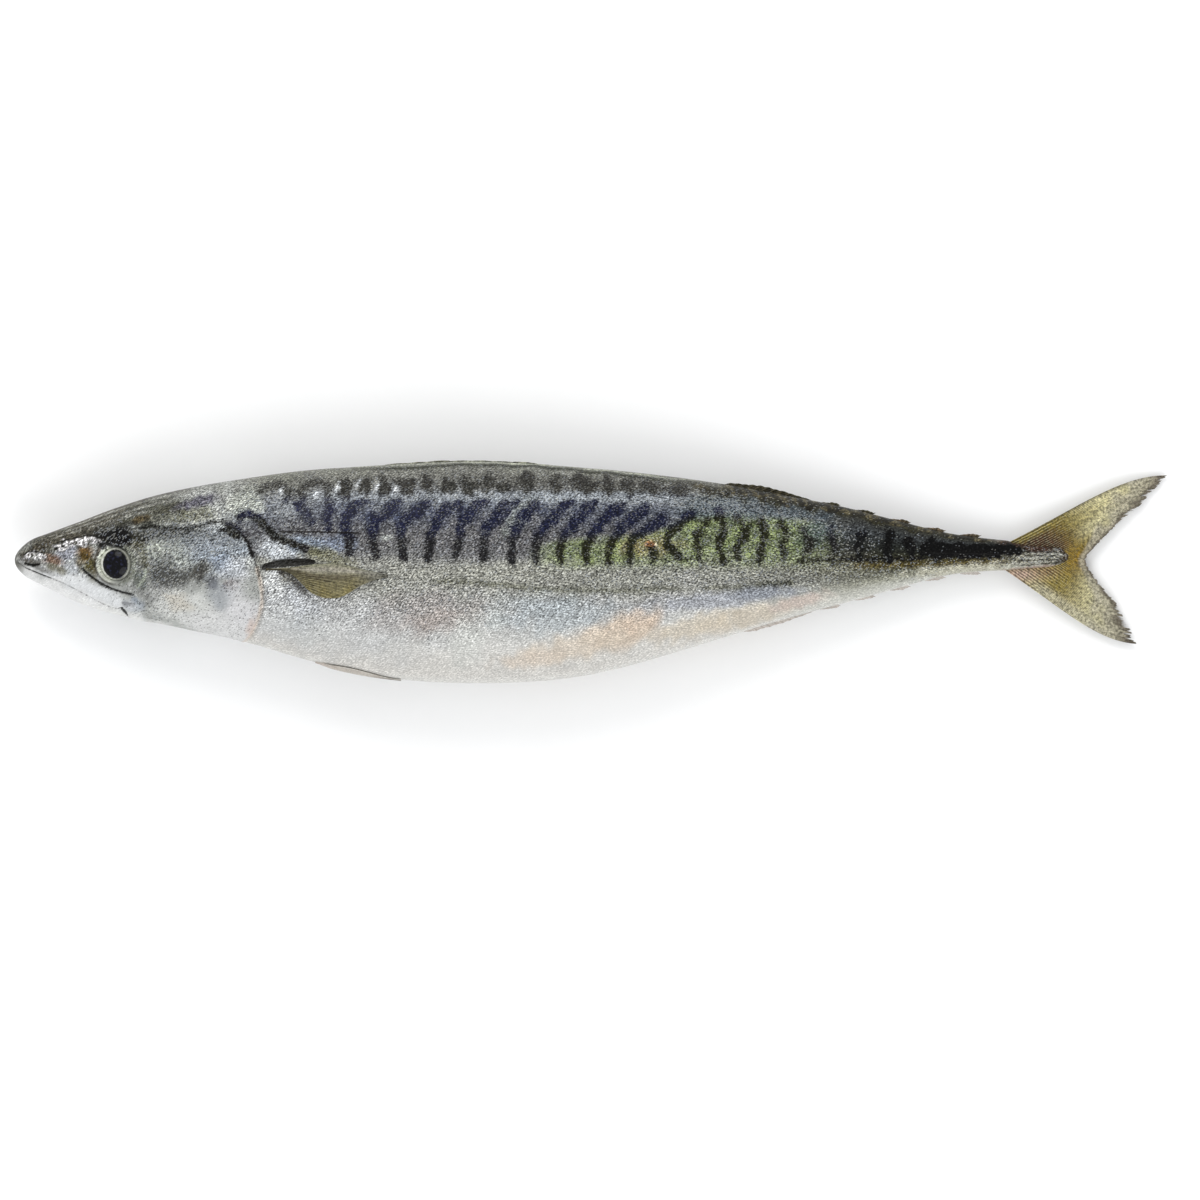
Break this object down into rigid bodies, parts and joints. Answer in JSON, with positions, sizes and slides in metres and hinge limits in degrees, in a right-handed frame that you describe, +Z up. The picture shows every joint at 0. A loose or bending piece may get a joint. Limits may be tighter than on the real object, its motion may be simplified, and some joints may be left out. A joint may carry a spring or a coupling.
{
  "type": "whole raw mackerel",
  "caption": "Whole raw mackerel lying on its right flank: spindle-shaped body with folded fins, finlets, eyes and a forked tail.",
  "frame": {"origin": "on the table, under the middle of the whole fish's bounding box, with the fish lying on its right flank", "axes": "+X from snout to tail, +Y from belly to back, +Z up from the table to the left flank"},
  "size_m": [0.35, 0.0674, 0.0408],
  "materials": {
    "skin": "wet silver scaled skin, blue and green barred on the back",
    "eye": "wet and glassy, black pupil in a pale silver ring",
    "dark_fin": "dark olive rays under wet membrane",
    "olive_fin": "olive rays under wet membrane",
    "pale_fin": "pale pinkish grey rays under wet membrane",
    "tail": "yellow olive rays with dark frayed ends"
  },
  "bodies": {
    "root": {"body": "skin", "left_eye": "eye", "right_eye": "eye", "left_pectoral_fin": "olive_fin", "right_pectoral_fin": "olive_fin", "left_pelvic_fin": "pale_fin", "right_pelvic_fin": "pale_fin", "first_dorsal_fin": "dark_fin", "second_dorsal_fin": "dark_fin", "dorsal_finlet_1": "dark_fin", "dorsal_finlet_2": "dark_fin", "dorsal_finlet_3": "dark_fin", "dorsal_finlet_4": "dark_fin", "dorsal_finlet_5": "dark_fin", "anal_fin": "pale_fin", "anal_finlet_1": "pale_fin", "anal_finlet_2": "pale_fin", "anal_finlet_3": "pale_fin", "anal_finlet_4": "pale_fin", "anal_finlet_5": "pale_fin", "tail_fin": "tail"}
  },
  "joints": []
}
